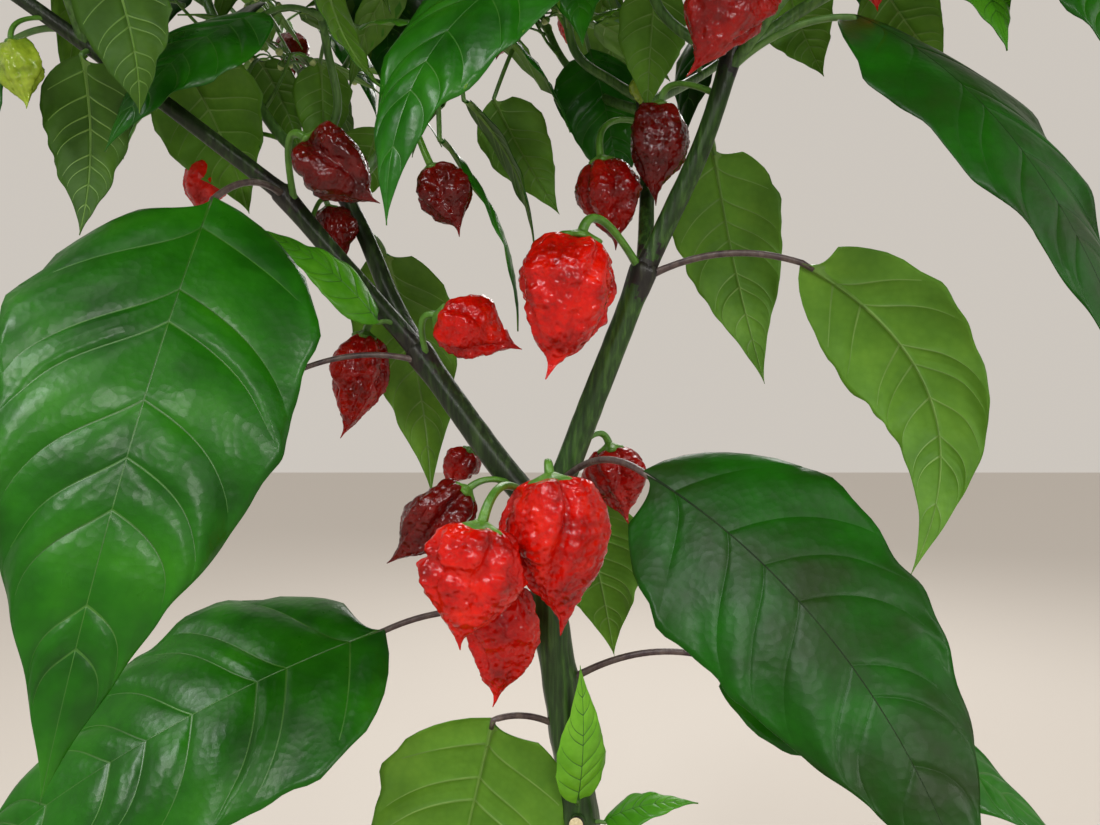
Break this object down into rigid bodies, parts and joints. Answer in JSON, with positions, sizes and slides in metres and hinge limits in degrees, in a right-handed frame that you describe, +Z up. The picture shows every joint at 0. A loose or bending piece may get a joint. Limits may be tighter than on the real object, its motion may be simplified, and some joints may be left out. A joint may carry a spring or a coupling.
{
  "type": "chilli pepper plant",
  "caption": "Branching chilli pepper plant with wrinkled red pods and drooping pointed leaves, standing in a plain clay pot",
  "frame": {"origin": "centre of the flat underside of the pot", "axes": "+Z up along the stem; -Y is the side that the picture shows; +X is to the right of that side"},
  "size_m": [0.5976, 0.478, 0.9212],
  "materials": {
    "pot": "matte",
    "soil": "matte",
    "stem": "satin",
    "leaf": "satin",
    "pod": "gloss",
    "foliage": "satin"
  },
  "bodies": {
    "root": {"pot": "pot", "soil": "soil", "left_bough": "stem", "left_far": "stem", "left_inner": "stem", "left_outer": "stem", "main_stem": "stem", "right_bough": "stem", "right_inner": "stem", "right_outer": "stem", "foliage_back": "foliage", "foliage_centre": "foliage", "foliage_far_left": "foliage", "foliage_far_right": "foliage", "foliage_front": "foliage", "foliage_left_back": "foliage", "foliage_left_front": "foliage", "foliage_left_middle": "foliage", "foliage_left_shoot": "foliage", "foliage_left_top": "foliage", "foliage_right_back": "foliage", "foliage_right_front": "foliage", "foliage_right_top": "foliage", "foliage_right_twig": "foliage", "leaf_fork_back": "leaf", "leaf_left_back": "leaf", "leaf_left_behind": "leaf", "leaf_left_edge": "leaf", "leaf_left_front": "leaf", "leaf_left_hanging": "leaf", "leaf_left_low": "leaf", "leaf_left_young": "leaf", "leaf_right_back": "leaf", "leaf_right_front": "leaf", "leaf_right_long": "leaf", "leaf_right_middle": "leaf", "leaf_stem_left": "leaf", "leaf_stem_right": "leaf", "leaf_stem_small": "leaf", "leaf_stem_young": "leaf", "pod_fork_back": "pod", "pod_fork_dark": "pod", "pod_fork_front": "pod", "pod_fork_left": "pod", "pod_fork_low": "pod", "pod_fork_small": "pod", "pod_hanging_left": "pod", "pod_hanging_right": "pod", "pod_left_node": "pod", "pod_left_tail": "pod", "pod_left_under": "pod", "pod_middle": "pod", "pod_right_node": "pod", "pod_top": "pod", "pod_unripe": "pod"}
  },
  "joints": []
}
